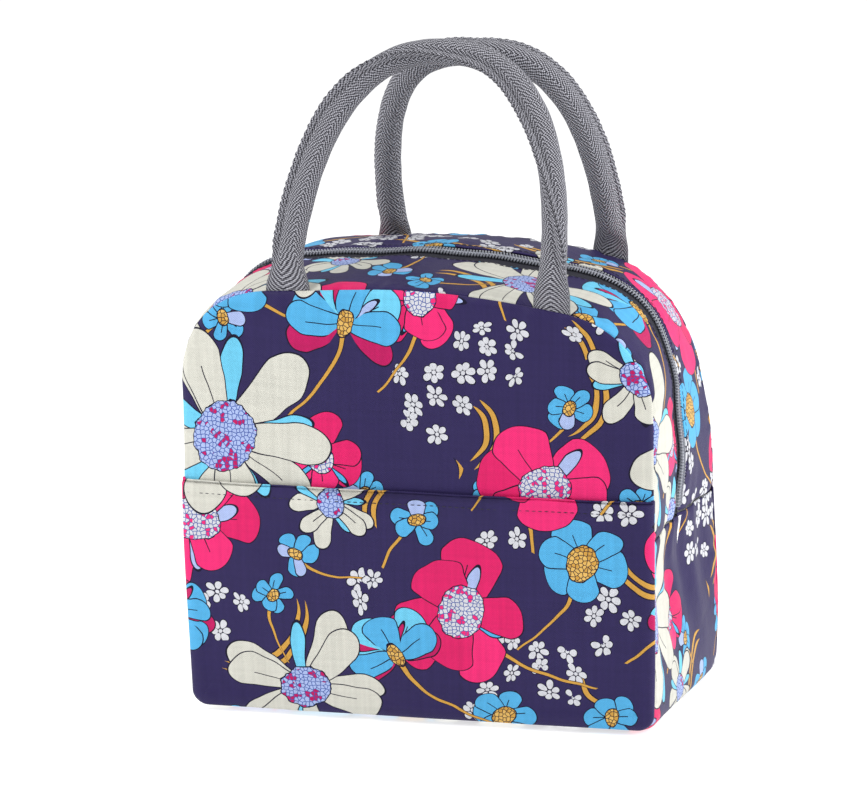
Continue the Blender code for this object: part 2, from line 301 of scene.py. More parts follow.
class Nodes:
    """Adds shader nodes to a tree and returns their outputs as wires."""

    def __init__(self, tree):
        self.tree = tree

    def plug(self, value, socket):
        """Link a wire to a socket, or set the socket's own value."""
        if isinstance(value, Wire):
            self.tree.links.new(value.socket, socket)
        elif isinstance(value, (tuple, list)) and len(value) == 3 and socket.type == "RGBA":
            socket.default_value = (*value, 1.0)
        else:
            socket.default_value = value

    def add(self, kind, inputs, *outputs, **settings):
        """A node's outputs by place or name, once its settings and inputs are set."""
        node = self.tree.nodes.new("ShaderNode" + kind)
        for key, value in settings.items():
            setattr(node, key, value)
        for key, value in inputs.items():
            self.plug(value, node.inputs[key])
        wires = [Wire(self, node.outputs[key]) for key in outputs or (0,)]
        return wires if outputs[1:] else wires[0]

    def math(self, operation, *values):
        return self.add("Math", dict(enumerate(values)), operation=operation)

    def scaled(self, value, factor, plus):
        return self.math("MULTIPLY_ADD", value, factor, plus)

    def vector(self, operation, *values):
        output = "Value" if operation == "LENGTH" else 0
        return self.add("VectorMath", dict(enumerate(values)), output, operation=operation)

    def scale(self, vector, factor):
        return self.add("VectorMath", {0: vector, "Scale": factor}, operation="SCALE")

    def tinted(self, colour, tone):
        """A plain colour times a tone that varies."""
        base = self.add("RGB", {})
        base.socket.default_value = (*colour, 1.0)
        return self.scale(base, tone)

    def colour(self, factor, first, second):
        """A colour that is first at factor 0 and second at factor 1."""
        return self.add("Mix", {"Factor": factor, 6: first, 7: second}, 2, data_type="RGBA")

    def pick(self, factor, first, second):
        """The same for a vector."""
        return self.add("Mix", {"Factor": factor, 4: first, 5: second}, 1, data_type="VECTOR")

    def number(self, factor, first, second):
        """The same for a number."""
        return self.add("Mix", {"Factor": factor, 2: first, 3: second}, data_type="FLOAT")

    def ramp(self, value, low, high):
        """0 at low, 1 at high."""
        inputs = {"Value": value, "From Min": low, "From Max": high}
        return self.add("MapRange", inputs, interpolation_type="SMOOTHSTEP")

    def split(self, vector):
        return self.add("SeparateXYZ", {0: vector}, 0, 1, 2)

    def parts(self, colour):
        return self.add("SeparateColor", {0: colour}, 0, 1, 2)

    def noise(self, vector, scale, detail=2.0, rough=0.5, output="Fac"):
        inputs = {"Vector": vector, "Scale": scale, "Detail": detail, "Roughness": rough}
        return self.add("TexNoise", inputs, output)

    def cells(self, vector, scale, randomness=1.0):
        """Distance to the nearest cell's centre in cell sizes, the cell's random colour, its place."""
        inputs = {"Vector": vector, "Scale": scale, "Randomness": randomness}
        return self.add("TexVoronoi", inputs, "Distance", "Color", "Position", voronoi_dimensions="2D")

    def cell_edge(self, vector, scale, randomness):
        """Distance to the border of the cell, in cell sizes."""
        inputs = {"Vector": vector, "Scale": scale, "Randomness": randomness}
        return self.add("TexVoronoi", inputs, "Distance", voronoi_dimensions="2D",
                        feature="DISTANCE_TO_EDGE")

    def chance(self, value):
        """A random number that belongs to a value."""
        return self.add("TexWhiteNoise", {"W": value}, "Value", noise_dimensions="1D")

    def cloth_uv(self):
        return self.add("UVMap", {}, uv_map="cloth")

    def solid_place(self):
        return self.add("TexCoord", {}, "Object")

    def bump(self, height, distance, strength, **normal):
        """A bumped normal; Normal= gives the one below it."""
        inputs = {"Height": height, "Distance": distance, "Strength": strength, **normal}
        return self.add("Bump", inputs)


def rgb(red, green, blue):
    """Linear colour from display values of 0 to 255."""
    def linear(part):
        part /= 255
        return part / 12.92 if part <= 0.04045 else ((part + 0.055) / 1.055) ** 2.4
    return linear(red), linear(green), linear(blue)


# ---------------------------------------------------------------- the floral print
NAVY = rgb(43, 35, 79)
INK = rgb(16, 12, 38)
PINK = rgb(208, 28, 96)
HOT_PINK = rgb(224, 40, 110)
DEEP_PINK = rgb(178, 20, 88)
STEEL = rgb(44, 72, 150)
BLUE = rgb(78, 164, 212)
PALE_BLUE = rgb(104, 190, 222)
LILAC = rgb(160, 176, 218)
CREAM = rgb(199, 198, 188)
WHITE = rgb(200, 201, 207)
MUSTARD = rgb(196, 148, 66)
SEED_YELLOW = rgb(214, 172, 92)

OUTLINE = 0.00052
SEED_SCALE = 520.0
BLOSSOM_CELL = 0.0128
BLOSSOM_PETALS = 6

# The printed cloth repeats every TILE. Places are (across, up, turn, size), metres and radians.
TILE = 0.240
DAISIES = ((0.021, 0.147, 0.35, 0.056), (0.056, 0.014, 1.1, 0.042), (0.214, 0.186, 2.1, 0.030),
           (0.072, 0.104, 2.9, 0.024))
ROUNDS = ((0.006, 0.092, 1.6, 0.036), (0.131, 0.055, 0.35, 0.036), (0.170, 0.130, 0.9, 0.036),
          (0.112, 0.217, 0.2, 0.026), (0.066, 0.140, 2.2, 0.022))
BLUES = ((0.188, 0.081, 0.3, 0.024), (0.026, 0.221, 2.0, 0.022), (0.150, 0.004, 1.0, 0.016))
FANS = ((0.077, 0.203, 0.1, 0.029), (0.100, 0.033, -0.5, 0.024), (0.233, 0.046, 1.2, 0.022))
POSIES = ((0.182, 0.170, 0.4, 0.0130), (0.054, 0.078, 1.9, 0.0120), (0.201, 0.006, 3.2, 0.0150),
          (0.145, 0.124, 2.2, 0.0110), (0.214, 0.124, 5.0, 0.0120), (0.043, 0.058, 0.9, 0.0110),
          (0.112, 0.098, 1.3, 0.0130), (0.086, 0.125, 4.0, 0.0110), (0.022, 0.200, 2.9, 0.0120))
ARCS = ((0.176, 0.180, 0.4, 0.036), (0.168, 0.196, 0.1, 0.040), (0.118, 0.140, -0.5, 0.020),
        (0.030, 0.058, 1.0, 0.052), (0.108, 0.096, 3.9, 0.034), (0.226, 0.085, 2.2, 0.030),
        (0.205, 0.026, 2.4, 0.026), (0.215, 0.222, 0.8, 0.030),
        (0.098, 0.074, 5.4, 0.044), (0.128, 0.160, 0.2, 0.030))
# Sprays of blossoms: (across, up, radius)
SPRAYS = ((0.147, 0.190, 0.023), (0.117, 0.172, 0.020), (0.168, 0.031, 0.024), (0.081, 0.066, 0.013),
          (0.196, 0.050, 0.015), (0.017, 0.052, 0.013), (0.151, 0.094, 0.011), (0.189, 0.221, 0.016),
          (0.146, 0.010, 0.014), (0.206, 0.108, 0.010))

# Flowers in the order of printing: name, places, stem (length, half width, swing), rings of petals,
# heart (radius, seed colours, squeeze, level where the second colour starts), in flower radii.
# A ring: petals, turn, (least, most) length, (least, most) half width, egg shape,
# (colour, other colour, share that stays), seed, share with a vein, (heading, least cosine) shown.
FLOWERS = (
    ("posies", POSIES, (2.2, 0.0009, 0.9),
     ((3, 0.0, (0.72, 1.0), (0.26, 0.36), 0.30, (BLUE,), 3.0),
      (3, 1.05, (0.66, 0.95), (0.24, 0.34), 0.30, (BLUE, LILAC, 0.85), 8.0)),
     (0.24, (SEED_YELLOW, MUSTARD, INK), 0.2)),
    ("blue_flowers", BLUES, (1.9, 0.0010, 0.8),
     ((3, 0.1, (0.80, 1.0), (0.30, 0.40), 0.30, (BLUE,), 21.0),
      (3, 1.15, (0.72, 0.98), (0.24, 0.38), 0.35, (BLUE, LILAC, 0.9), 25.0)),
     (0.32, (SEED_YELLOW, MUSTARD, INK), 0.12)),
    ("pink_flowers", ROUNDS, (1.7, 0.0011, 0.8),
     ((3, 0.5, (0.86, 1.0), (0.32, 0.42), 0.38, (PINK, HOT_PINK, 0.5), 31.0, 0.4),
      (4, 0.0, (0.60, 0.84), (0.05, 0.09), 0.30, (LILAC, BLUE, 0.6), 36.0, 0),
      (3, 1.5, (0.70, 0.94), (0.24, 0.36), 0.38, (HOT_PINK, PINK, 0.5), 34.0, 0.6)),
     (0.31, (WHITE, HOT_PINK, STEEL), 0.10, 0.86)),
    ("fan_flowers", FANS, (1.9, 0.0011, 0.5),
     ((5, 0.3, (0.80, 0.98), (0.20, 0.28), 0.34, (DEEP_PINK,), 41.0, 0, (1.9, -0.62)),
      (5, 0.75, (0.86, 1.0), (0.26, 0.34), 0.36, (PALE_BLUE, BLUE, 0.5), 45.0, 0.9, (2.2, -0.25)),
      (6, 0.2, (0.55, 0.86), (0.05, 0.09), 0.30, (DEEP_PINK, LILAC, 0.6), 47.0, 0, (1.8, 0.0)),
      (4, 0.1, (0.78, 0.95), (0.24, 0.32), 0.36, (BLUE,), 49.0, 0.9, (1.7, -0.3))),
     (0.15, (SEED_YELLOW, MUSTARD, INK), 0.3)),
    ("daisies", DAISIES, None,
     ((5, 0.2, (0.84, 1.0), (0.14, 0.19), 0.42, (CREAM,), 61.0, 0.4),
      (5, 0.75, (0.66, 0.86), (0.07, 0.11), 0.35, (PALE_BLUE,), 63.0, 0),
      (4, 1.0, (0.74, 0.96), (0.15, 0.20), 0.42, (CREAM,), 67.0, 0.6)),
     (0.27, (LILAC, DEEP_PINK, STEEL), 0.06, 0.90)),
)


def wrapped_offset(n, uv, across, up):
    """Vector from the nearest copy of a place in the repeating tile."""
    offset = n.vector("SUBTRACT", uv, (across, up, 0.0))
    return n.vector("WRAP", offset, (TILE / 2,) * 3, (-TILE / 2,) * 3)


def nearest(n, uv, places):
    """Offset, turn and size of the nearest of a set of places in the repeating tile."""
    best = None
    for index, (across, up, turn, size) in enumerate(places):
        offset = wrapped_offset(n, uv, across, up)
        reach = n.vector("LENGTH", offset) / size
        facts = (turn, size, index + 1.0)
        if best is None:
            best = (offset, reach, facts)
            continue
        closer = reach < best[1]
        best = (n.pick(closer, best[0], offset), n.math("MINIMUM", reach, best[1]),
                n.pick(closer, best[2], facts))
    offset, reach, facts = best
    turn, size, which = n.split(facts)
    x, y, _ = n.split(offset)
    x = x / size
    y = y / size
    angle = n.math("ARCTAN2", y, x) + turn
    return {"x": x, "y": y, "reach": reach, "angle": angle, "line": OUTLINE / size, "which": which,
            "size": size}


def petal_ring(n, ground, at, count, lean, long, wide, egg, colours, seed, vein=0.5, only=None):
    """A ring of egg-shaped petals, outlined, over the ground colour. Each has its own size."""
    step = 2 * math.pi / count
    sector = (at["angle"] + lean) / step
    petal = n.math("FLOOR", sector + 0.5)
    inside = (sector - petal) * step
    petal = n.math("WRAP", petal, float(count), 0.0)
    key = petal + at["which"] * 13.7 + seed
    luck = n.chance(key)
    luck2 = n.chance(key + 57.3)
    luck3 = n.chance(key + 91.9)
    inside = inside + (luck3 - 0.5) * (0.3 * step)
    along = at["reach"] * n.math("COSINE", inside)
    aside = at["reach"] * n.math("SINE", inside)
    sway = (luck2 - 0.5) * 0.36
    aside = aside - along * along * sway
    tall = n.scaled(luck, long[1] - long[0], long[0])
    broad = n.scaled(luck2, wide[1] - wide[0], wide[0])
    middle = tall * 0.6
    toward = (along - middle) / (tall * 0.4)
    toward = toward * n.number(toward > 0.0, 0.62, 1.0)
    narrow = n.scaled(toward, egg, 1.0)
    narrow = n.math("MAXIMUM", n.math("MINIMUM", narrow, 1.0 + 0.4 * egg), 0.15)
    out = aside / (broad * narrow)
    round_out = n.math("SQRT", abs(toward) ** 2.4 + out * out)
    edge = (round_out - 1.0) * (broad * narrow)
    shown = along > 0.0
    if only is not None:
        heading = n.math("COSINE", petal * step - only[0])
        shown = shown * (heading > only[1])
    line = at["line"]
    result = n.colour(shown * (edge < line * 0.5), ground, INK)
    fill = colours[0]
    if len(colours) > 1:
        fill = n.colour(luck3 > colours[2], fill, colours[1])
    inner = shown * (edge < line * -0.5)
    result = n.colour(inner, result, fill)
    if vein:
        track = abs(aside - along * ((luck - 0.5) * 0.22))
        drawn = (track < line * 0.45) * (along < tall * 0.66)
        drawn = drawn * inner * (luck3 < vein)
        result = n.colour(drawn, result, INK)
    return result


def flower_heart(n, ground, grain, at, radius, seeds, squeeze, rare=0.74):
    """The speckled centre of a flower: outlined seeds in three colours."""
    swing = n.math("COSINE", at["angle"] * 2.0)
    reach = at["reach"] * n.scaled(swing, squeeze, 1.0)
    rim = n.scaled(grain["wobble"], 0.07, reach) - (0.035 + radius)
    seed_a, seed_b, seed_line = seeds
    mixed = n.scaled(grain["luck"], 0.6, grain["cloud"] * 0.8)
    seed = n.colour(mixed > rare, seed_a, seed_b)
    seed = n.colour(grain["gap"] < 0.085, seed, seed_line)
    result = n.colour(rim < at["line"], ground, INK)
    return n.colour(rim < 0.0, result, seed)


def stem(n, ground, at, tall, thick, swing):
    """A curved mustard stem that leaves a flower's centre."""
    turn = n.scaled(n.chance(at["which"] + 400.0), 2 * swing, -swing)
    c = n.math("COSINE", turn)
    s = n.math("SINE", turn)
    away = (at["y"] * c + at["x"] * s) * -1.0
    aside = at["x"] * c - at["y"] * s
    bend = (n.chance(at["which"]) - 0.5) * 0.9
    aside = abs(aside - away * away * bend)
    half = thick / at["size"]
    taper = half - half * away * (0.35 / tall)
    within = (away > 0.0) * (away < tall)
    dark = within * (aside < taper * 1.45)
    light = within * (aside < taper)
    return n.colour(light, n.colour(dark, ground, INK), MUSTARD)


def draw_arcs(n, inputs):
    """Free mustard stems, bent into arcs that taper to both ends; the longer ones are paired."""
    at = nearest(n, inputs["Cloth"], tuple((a, b, c, d * 0.72) for a, b, c, d in ARCS))
    spread = n.math("WRAP", at["angle"], math.pi, -math.pi)
    reach = at["reach"] + spread * 0.16
    off = (reach - 0.85) * at["size"]
    open_share = 1.0 - abs(spread / 0.95) ** 4.0
    half = n.math("MAXIMUM", open_share, 0.0) * 0.00115
    paired = (at["size"] > 0.0215) * 0.0021
    far = abs(abs(off) - paired)
    dark = far < half * 1.5
    result = n.colour(dark * (half > 0.0001), inputs["Ground"], INK)
    return n.colour(far < half, result, MUSTARD)


def draw_flowers(n, inputs, places, stalk, rings, heart):
    """One kind of flower: stem, rings of petals and heart."""
    at = nearest(n, inputs["Cloth"], places)
    result = inputs["Ground"]
    if stalk:
        result = stem(n, result, at, *stalk)
    for ring in rings:
        result = petal_ring(n, result, at, *ring)
    return flower_heart(n, result, inputs, at, *heart)


def paint_blossoms(n, ground, uv, place, red, green, blue):
    """Sprays of small white blossoms, whole ones only, over the ground colour.

    place is the centre of the blossom's cell; red, green and blue are its random numbers.
    """
    best = None
    for across, up, radius in SPRAYS:
        reach = n.vector("LENGTH", wrapped_offset(n, place, across, up)) / radius
        best = reach if best is None else n.math("MINIMUM", best, reach)
    shown = best < 1.0
    x, y, _ = n.split(n.vector("SUBTRACT", uv, place))
    radius = n.scaled(red, 0.0015, 0.0056)
    squash = n.scaled(blue, 0.5, 0.95)
    c = n.math("COSINE", red * 9.0)
    s = n.math("SINE", red * 9.0)
    along = x * c + y * s
    across = (y * c - x * s) * squash
    reach = n.vector("LENGTH", n.add("CombineXYZ", {0: along, 1: across, 2: 0.0})) / radius
    angle = n.math("ARCTAN2", across, along) + green * 6.28
    sector = angle * (BLOSSOM_PETALS / (2 * math.pi))
    petal = n.math("FLOOR", sector + 0.5)
    inside = (sector - petal) * (2 * math.pi / BLOSSOM_PETALS)
    luck = n.chance(n.math("WRAP", petal, float(BLOSSOM_PETALS), 0.0) + blue * 97.0)
    tall = n.scaled(luck, 0.34, 0.68)
    ahead = reach * n.math("COSINE", inside)
    aside = reach * n.math("SINE", inside)
    toward = (ahead - tall * 0.62) / (tall * 0.4)
    out = aside / n.scaled(toward, 0.05, 0.25)
    edge = n.math("SQRT", toward * toward + out * out)
    shown = shown * (luck < 0.93)
    result = n.colour(shown * (edge < 1.16), ground, INK)
    white = edge < 0.94
    result = n.colour(shown * white, result, WHITE)
    return n.colour(shown * (reach < 0.15), result, WHITE)


GRAIN = ("wobble", "cloud", "gap", "luck")


def new_group(name, *inputs):
    """A new node group that gives a colour: its nodes and its inputs by name."""
    tree = bpy.data.node_groups.new(name, "ShaderNodeTree")
    for socket, kind in inputs:
        tree.interface.new_socket(socket, in_out="INPUT", socket_type="NodeSocket" + kind)
    tree.interface.new_socket("Colour", in_out="OUTPUT", socket_type="NodeSocketColor")
    n = Nodes(tree)
    source = tree.nodes.new("NodeGroupInput")
    tree.nodes.new("NodeGroupOutput")
    return n, {socket: Wire(n, source.outputs[socket]) for socket, _ in inputs}


def add_layer(n, ground, cloth, grain, name, draw, *details):
    """Draw one kind of print over the ground colour, in a node group of its own."""
    inner, inputs = new_group(name, ("Cloth", "Vector"), *((key, "Float") for key in GRAIN),
                              ("Ground", "Color"))
    inner.plug(draw(inner, inputs, *details), inner.tree.nodes["Group Output"].inputs[0])
    return n.add("Group", {"Cloth": cloth, **grain, "Ground": ground}, node_tree=inner.tree)


def print_group():
    """The whole print as one node group: cloth position in, colour out.

    All its textures come first, and the drawing follows a position that they have moved a little,
    as by hand.
    """
    n, inputs = new_group("floral_print", ("Cloth", "Vector"))
    uv = inputs["Cloth"]
    _, luck, _ = n.cells(uv, SEED_SCALE, 0.8)
    grain = {"wobble": n.noise(uv, 240.0, 1.0), "cloud": n.noise(uv, 110.0, 1.0),
             "gap": n.cell_edge(uv, SEED_SCALE, 0.8), "luck": n.parts(luck)[0]}
    _, luck, place = n.cells(uv, 1 / BLOSSOM_CELL, 0.62)
    red, green, blue = n.parts(luck)
    drawn = n.vector("SUBTRACT", n.noise(uv, 90.0, 0.0, output="Color"), (0.5, 0.5, 0.5))
    drawn = n.vector("MULTIPLY", drawn, (0.0022, 0.0022, 0.0))
    drawn = n.vector("ADD", drawn, uv)
    result = n.colour(n.vector("LENGTH", drawn) < -1.0, NAVY, INK)
    result = add_layer(n, result, drawn, grain, "arcs", draw_arcs)
    result = paint_blossoms(n, result, drawn, place, red, green, blue)
    for name, *flower in FLOWERS:
        result = add_layer(n, result, drawn, grain, name, draw_flowers, *flower)
    n.plug(result, n.tree.nodes["Group Output"].inputs[0])
    return n.tree


FLORAL = print_group()


# ---------------------------------------------------------------- materials
def material(name, draw, *details):
    """A material whose Principled shader takes the inputs that draw gives."""
    made = bpy.data.materials.new(name)
    made.use_nodes = True
    n = Nodes(made.node_tree)
    shader = made.node_tree.nodes["Principled BSDF"]
    for key, value in draw(n, *details).items():
        n.plug(value, shader.inputs[key])
    return made


def printed_cloth(n, across, up):
    """Satin oxford cloth with the floral print, cut from its own place on the bolt."""
    uv = n.vector("ADD", n.cloth_uv(), (across, up, 0.0))
    floral = n.add("Group", {0: uv}, node_tree=FLORAL)
    u, v, _ = n.split(uv)
    twill = n.math("SINE", (u + v * 1.3) * (2 * math.pi / (1.25 * MM)))
    grain = n.noise(uv, 900.0, 2.0, 0.6)
    patch = n.noise(uv, 22.0, 3.0, 0.55)
    warp = n.noise(n.vector("MULTIPLY", uv, (1.0, 0.03, 1.0)), 420.0)
    weft = n.noise(n.vector("MULTIPLY", uv, (0.03, 1.0, 1.0)), 420.0)
    streaks = warp * 0.3 + weft * 0.2
    shade = twill * 0.07 + grain * 0.1
    shade = shade + (patch * 0.16 + streaks)
    bright = n.scale(floral, shade + 0.62)
    rough = patch * 0.12 + 0.4
    weave = n.bump(twill * 0.6 + grain * 0.5, 0.00016, 0.6)
    crumple = n.noise(uv, 70.0, 3.0)
    return {"Base Color": bright, "Roughness": rough, "Specular IOR Level": 0.15,
            "Normal": n.bump(crumple, 0.0022, 0.35, Normal=weave)}


def plain_weave(n, colour, rough, pitch, spread=0.25):
    """Plain woven tape or thread of one colour."""
    uv = n.cloth_uv()
    u, v, _ = n.split(uv)
    turn = 2 * math.pi / pitch
    weave = n.math("SINE", (u + v) * turn) * n.math("SINE", (u - v) * turn)
    grain = n.noise(uv, 1500.0)
    tone = weave * (spread / 2) + (grain * spread + (1 - spread / 2))
    return {"Base Color": n.tinted(colour, tone), "Roughness": rough,
            "Normal": n.bump(weave, 0.1 * MM, 0.8)}


def foil_lining(n):
    """Reflective lining film with fine creases and heat-sealed pin dots."""
    uv = n.cloth_uv()
    crease = n.noise(uv, 60.0, 6.0, 0.65)
    dot_gap, _, _ = n.cells(uv, 300.0, 0.0)
    tinted = n.tinted((0.78, 0.79, 0.81), crease * 0.12 + 0.82)
    rough = crease * 0.2 + 0.22
    creased = n.bump(crease, 0.0012, 0.5)
    dotted = n.bump(n.ramp(dot_gap, 0.25, 0.45), 0.2 * MM, 0.5, Normal=creased)
    return {"Base Color": tinted, "Metallic": 0.75, "Roughness": rough, "Normal": dotted}


def foam_sheet(n):
    """Closed-cell foam, seen only at cut edges."""
    cell, _, _ = n.cells(n.cloth_uv(), 1100.0)
    return {"Base Color": n.tinted((0.84, 0.84, 0.82), cell * 0.12 + 0.88), "Roughness": 0.85,
            "Normal": n.bump(cell, 0.2 * MM, 0.6)}


def herringbone(n):
    """Webbing of black and pale yarns in herringbone columns."""
    uv = n.cloth_uv()
    u, v, _ = n.split(uv)
    fold = n.math("PINGPONG", v, 6.6 * MM)
    stripe = u + fold * 1.45
    wander = n.noise(uv, 240.0) * 0.0006
    wave = n.math("SINE", (stripe + wander) * (2 * math.pi / (2.3 * MM)))
    yarn = n.math("SINE", (u * 1.45 - fold) * (2 * math.pi / (1.5 * MM)))
    grain = n.noise(uv, 1400.0)
    blend = wave + yarn * 0.85
    blend = blend + (grain - 0.5) * 1.6
    colour = n.colour(n.ramp(blend, -0.8, 1.3), rgb(26, 23, 38), rgb(190, 190, 200))
    bright = n.scale(colour, grain * 0.4 + 0.8)
    return {"Base Color": bright, "Roughness": 0.72, "Sheen Weight": 0.15, "Specular IOR Level": 0.3,
            "Normal": n.bump(wave + yarn * 0.6, 0.35 * MM, 0.9)}


def nylon(n, colour):
    """Moulded nylon of the zip's coil."""
    grain = n.noise(n.solid_place(), 700.0)
    return {"Base Color": n.tinted(colour, grain * 0.4 + 0.8), "Roughness": grain * 0.15 + 0.28}


def gunmetal(n):
    """Lacquered zinc with a cloudy tone and fine scuffs."""
    place = n.solid_place()
    scuff = n.noise(place, 900.0, 4.0, 0.7)
    cloud = n.noise(place, 160.0)
    return {"Base Color": n.tinted((0.30, 0.30, 0.32), cloud * 0.35 + 0.82), "Metallic": 0.9,
            "Roughness": scuff * 0.22 + 0.22, "Normal": n.bump(scuff, 0.06 * MM, 0.4)}


def rope(n):
    """Twisted cord inside a handle."""
    x, y, z = n.split(n.solid_place())
    twist = n.math("SINE", (x + y + z) * 2600.0)
    colour = n.colour(n.ramp(twist, -0.6, 0.6), (0.55, 0.53, 0.47), (0.80, 0.78, 0.71))
    return {"Base Color": colour, "Roughness": 0.9, "Normal": n.bump(twist, 0.4 * MM, 0.8)}


def white_floor(_):
    """Floor of the studio, which glows to stay white under the bag's light."""
    return {"Base Color": (0.60, 0.60, 0.60), "Roughness": 0.9, "Specular IOR Level": 0.1,
            "Emission Color": (1.0, 1.0, 1.0), "Emission Strength": 0.66}


CLOTHS = {name: material(f"printed_cloth_{name}", printed_cloth, *place) for name, place in {
    "front": (0.110, 0.016), "pocket": (0.110, 0.0), "band": (0.085, 0.030),
    "strip": (0.030, 0.100), "strip_rear": (0.150, 0.035), "back": (0.020, 0.090)}.items()}
STITCH_NAVY = material("navy_thread", plain_weave, rgb(24, 19, 44), 0.6, 0.6 * MM)
TAPE_BLACK = material("zip_tape_weave", plain_weave, rgb(24, 24, 38), 0.75, 0.9 * MM)
BIND_TAPE = material("binding_weave", plain_weave, rgb(30, 29, 40), 0.8, 0.8 * MM)
COIL_NYLON = material("coil_nylon", nylon, rgb(134, 137, 148))
STITCH_GREY = material("coil_thread", plain_weave, rgb(198, 200, 208), 0.6, 0.5 * MM)
WEBBING = material("handle_herringbone", herringbone)
STITCH_WEBBING = material("handle_thread", plain_weave, rgb(150, 150, 158), 0.7, 0.6 * MM)
FOIL = material("foil_lining_film", foil_lining)
FOAM_WHITE = material("insulation_foam_sheet", foam_sheet)
METAL = material("slider_gunmetal", gunmetal)
CORD = material("handle_core_cord", rope)


# ---------------------------------------------------------------- big panels
# Rim of a panel from the flat to the seam: (distance inside the outline, depth), mm
RIM = np.array([(7.4, 0.0), (6.6, 0.0), (5.7, 0.02), (4.8, 0.07), (3.7, 0.18), (2.7, 0.38),
                (1.8, 0.70), (1.1, 1.12), (0.65, 1.60), (0.55, 2.05), (0.85, 2.40), (1.5, 2.65)]) * MM
FOAM_RIM = np.array([(7.4, 0.9), (6.6, 0.9), (5.5, 1.0), (4.5, 1.2)]) * MM
LINING_RIM = np.array([(7.4, 4.3), (6.8, 4.3), (6.2, 4.4), (5.2, 4.8)]) * MM
# Tape folded over the seam inside the bag, in the same terms
BINDING = np.array([(5.3, 4.9), (5.0, 6.5), (5.0, 11.5), (5.3, 12.9), (5.8, 13.3), (6.3, 12.9),
                    (6.5, 11.5), (6.5, 6.5), (6.3, 5.0)]) * MM
PUCKERS = (0.0085, 0.012, 0.017, 0.026, 0.041)
RINGS_INSIDE = 34


def whole_outline():
    """The closed outline of a panel: points, normals, travel."""
    arch, _ = resample(arch_points(MOUTH_Z), 300)
    trough, _ = resample(trough_points(MOUTH_Z), 240)
    line = np.concatenate([arch, trough[1:-1]])
    wrapped = np.concatenate([line[-2:], line, line[:2]])
    return line, normals_of(wrapped)[2:-2], travel_along(line)


LINE, LINE_NORMAL, LINE_TRAVEL = whole_outline()


def rings_to(centre, line, normal, profile, count, first):
    """Rings of (points, depth) from a panel's middle to its rim."""
    start = line - normal * profile[0, 0]
    rings = [(centre + (start - centre) * (k / count) ** 0.85, profile[0, 1])
             for k in range(first, count + 1)]
    return rings + [(line - normal * inset, depth) for inset, depth in profile[1:]]


def rim_share(place, line):
    """1 beside the rim's seam, where the cloth puckers."""
    return hill(np.linalg.norm(place - line, axis=1), 5.5 * MM, 4.5 * MM)


def fan_panel(name, profile, side, seed):
    """A whole panel with its middle closed by a fan of triangles."""
    pucker = waves(LINE_TRAVEL, seed, PUCKERS)
    grid = []
    for place, depth in rings_to(np.array([0.0, 0.47 * HEIGHT]), LINE, LINE_NORMAL, profile,
                                 RINGS_INSIDE, 1):
        swell = panel_swell(place[:, 0], place[:, 1], seed)
        out = HALF_DEEP - depth + swell + pucker * rim_share(place, LINE) * 0.75 * MM
        grid.append(np.stack([place[:, 0], side * out, place[:, 1]], 1))
    cols = len(LINE)
    hub = len(grid) * cols
    verts = np.concatenate([*grid, grid[0].mean(axis=0)[None]])
    faces = grid_faces(len(grid), cols, closed=True, flip=side < 0)
    for j in range(cols):
        corner = (hub, j, (j + 1) % cols)
        faces.append(corner[::-1] if side > 0 else corner)
    return make_mesh(name, relax(verts), faces, verts[:, [0, 2]] * (-side, 1))


def make_binding(name, side, seed):
    """Tape that binds a panel's seam inside the bag."""
    grid = []
    for inset, depth in BINDING:
        x, z = (LINE - LINE_NORMAL * inset).T
        grid.append(np.stack([x, side * (HALF_DEEP - depth + panel_swell(x, z, seed)), z], 1))
    uv = np.stack(np.meshgrid(LINE_TRAVEL, np.arange(len(BINDING)) * 1.5 * MM), -1)
    return sheet_of(name, np.array(grid), uv, closed=True, flip=side < 0)


# ---------------------------------------------------------------- gusset and strips
# Edge of the gusset at a panel seam: (distance behind the panel's plane, inset), mm
GUSSET_RIM = np.array([(2.95, 2.3), (2.85, 1.9), (2.95, 1.45), (3.2, 1.05), (3.7, 0.68),
                       (4.4, 0.40), (5.3, 0.20), (6.4, 0.07), (7.8, 0.0)]) * MM
# Edge of a strip beside the zip, turned under: (distance from the window's edge, inset), mm
FOLD_RIM = np.array([(4.2, 0.0), (3.0, 0.0), (2.0, 0.02), (1.2, 0.07), (0.6, 0.18), (0.2, 0.38),
                     (0.0, 0.70), (0.25, 1.05), (1.0, 1.2), (2.6, 1.25), (5.0, 1.3)]) * MM
# Zip tape: (distance from the middle, inset), mm
TAPE_LINE = np.array([(TAPE_EDGE / MM, 1.9), (12.5, 1.9), (10.0, 1.8), (8.0, 1.6), (6.2, 1.35),
                      (5.0, 1.1), (4.2, 0.95), (2.6, 0.9), (0.5, 0.9)]) * MM
COIL_PITCH = 1.45 * MM


class Rail:
    """An outline that can be sampled by distance along it."""

    def __init__(self, points):
        line, self.travel = resample(points, 900)
        self.values = np.concatenate([line, normals_of(line)], 1)
        self.length = self.travel[-1]

    def at(self, travel):
        """Points and normals at the given distances."""
        values = np.stack([np.interp(travel, self.travel, column) for column in self.values.T], -1)
        return values[..., :2], values[..., 2:]


ARCH = Rail(arch_points(MOUTH_Z + 0.5 * MM))
TROUGH = Rail(trough_points(MOUTH_Z - 0.3 * MM))


